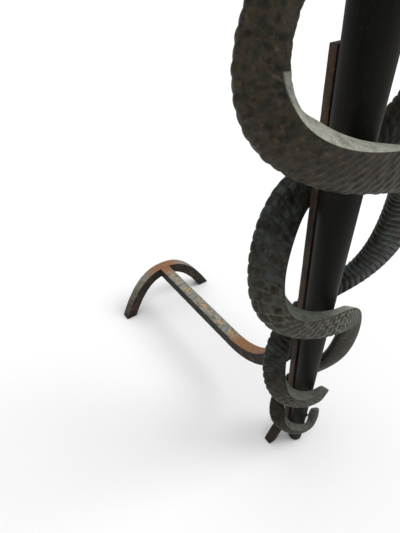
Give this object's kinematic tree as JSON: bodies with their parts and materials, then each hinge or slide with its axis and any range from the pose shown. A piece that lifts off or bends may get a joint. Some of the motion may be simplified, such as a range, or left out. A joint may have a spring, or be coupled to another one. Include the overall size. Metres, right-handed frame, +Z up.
{
  "type": "andiron",
  "caption": "Fireplace andiron with a tapering bronze staff entwined by snakes and an iron log bar on arched feet.",
  "frame": {"origin": "centre of the staff's foot, on the hearth", "axes": "+Z up, +Y rearwards along the billet bar to the fire, -Y the front, +X to the right as seen from the front"},
  "size_m": [0.2584, 0.5276, 0.7156],
  "materials": {
    "staff": "dark brown-green patinated bronze casting",
    "serpents": "patinated bronze casting, grey-green on the smooth faces and brown on the scales",
    "ironwork": "worn grey wrought iron with rust specks",
    "rusty_ironwork": "wrought iron, brown with rust"
  },
  "bodies": {
    "root": {"staff": "staff", "finial": "staff", "finial_stud": "staff", "crossing_pin_1": "staff", "crossing_pin_2": "staff", "crossing_pin_3": "staff", "crossing_pin_4": "staff", "joint_dowel_1": "staff", "joint_dowel_2": "staff", "joint_dowel_3": "staff", "serpent_a_tail": "serpents", "serpent_a_middle": "serpents", "serpent_a_head": "serpents", "serpent_b_tail": "serpents", "serpent_b_head": "serpents", "billet_bar": "ironwork", "rear_foot": "ironwork", "upright": "rusty_ironwork", "front_foot": "rusty_ironwork", "staff_screw_1": "rusty_ironwork", "staff_screw_2": "rusty_ironwork", "staff_screw_3": "rusty_ironwork", "staff_screw_4": "rusty_ironwork", "tongue_rivet_1": "rusty_ironwork", "tongue_rivet_2": "rusty_ironwork"}
  },
  "joints": []
}
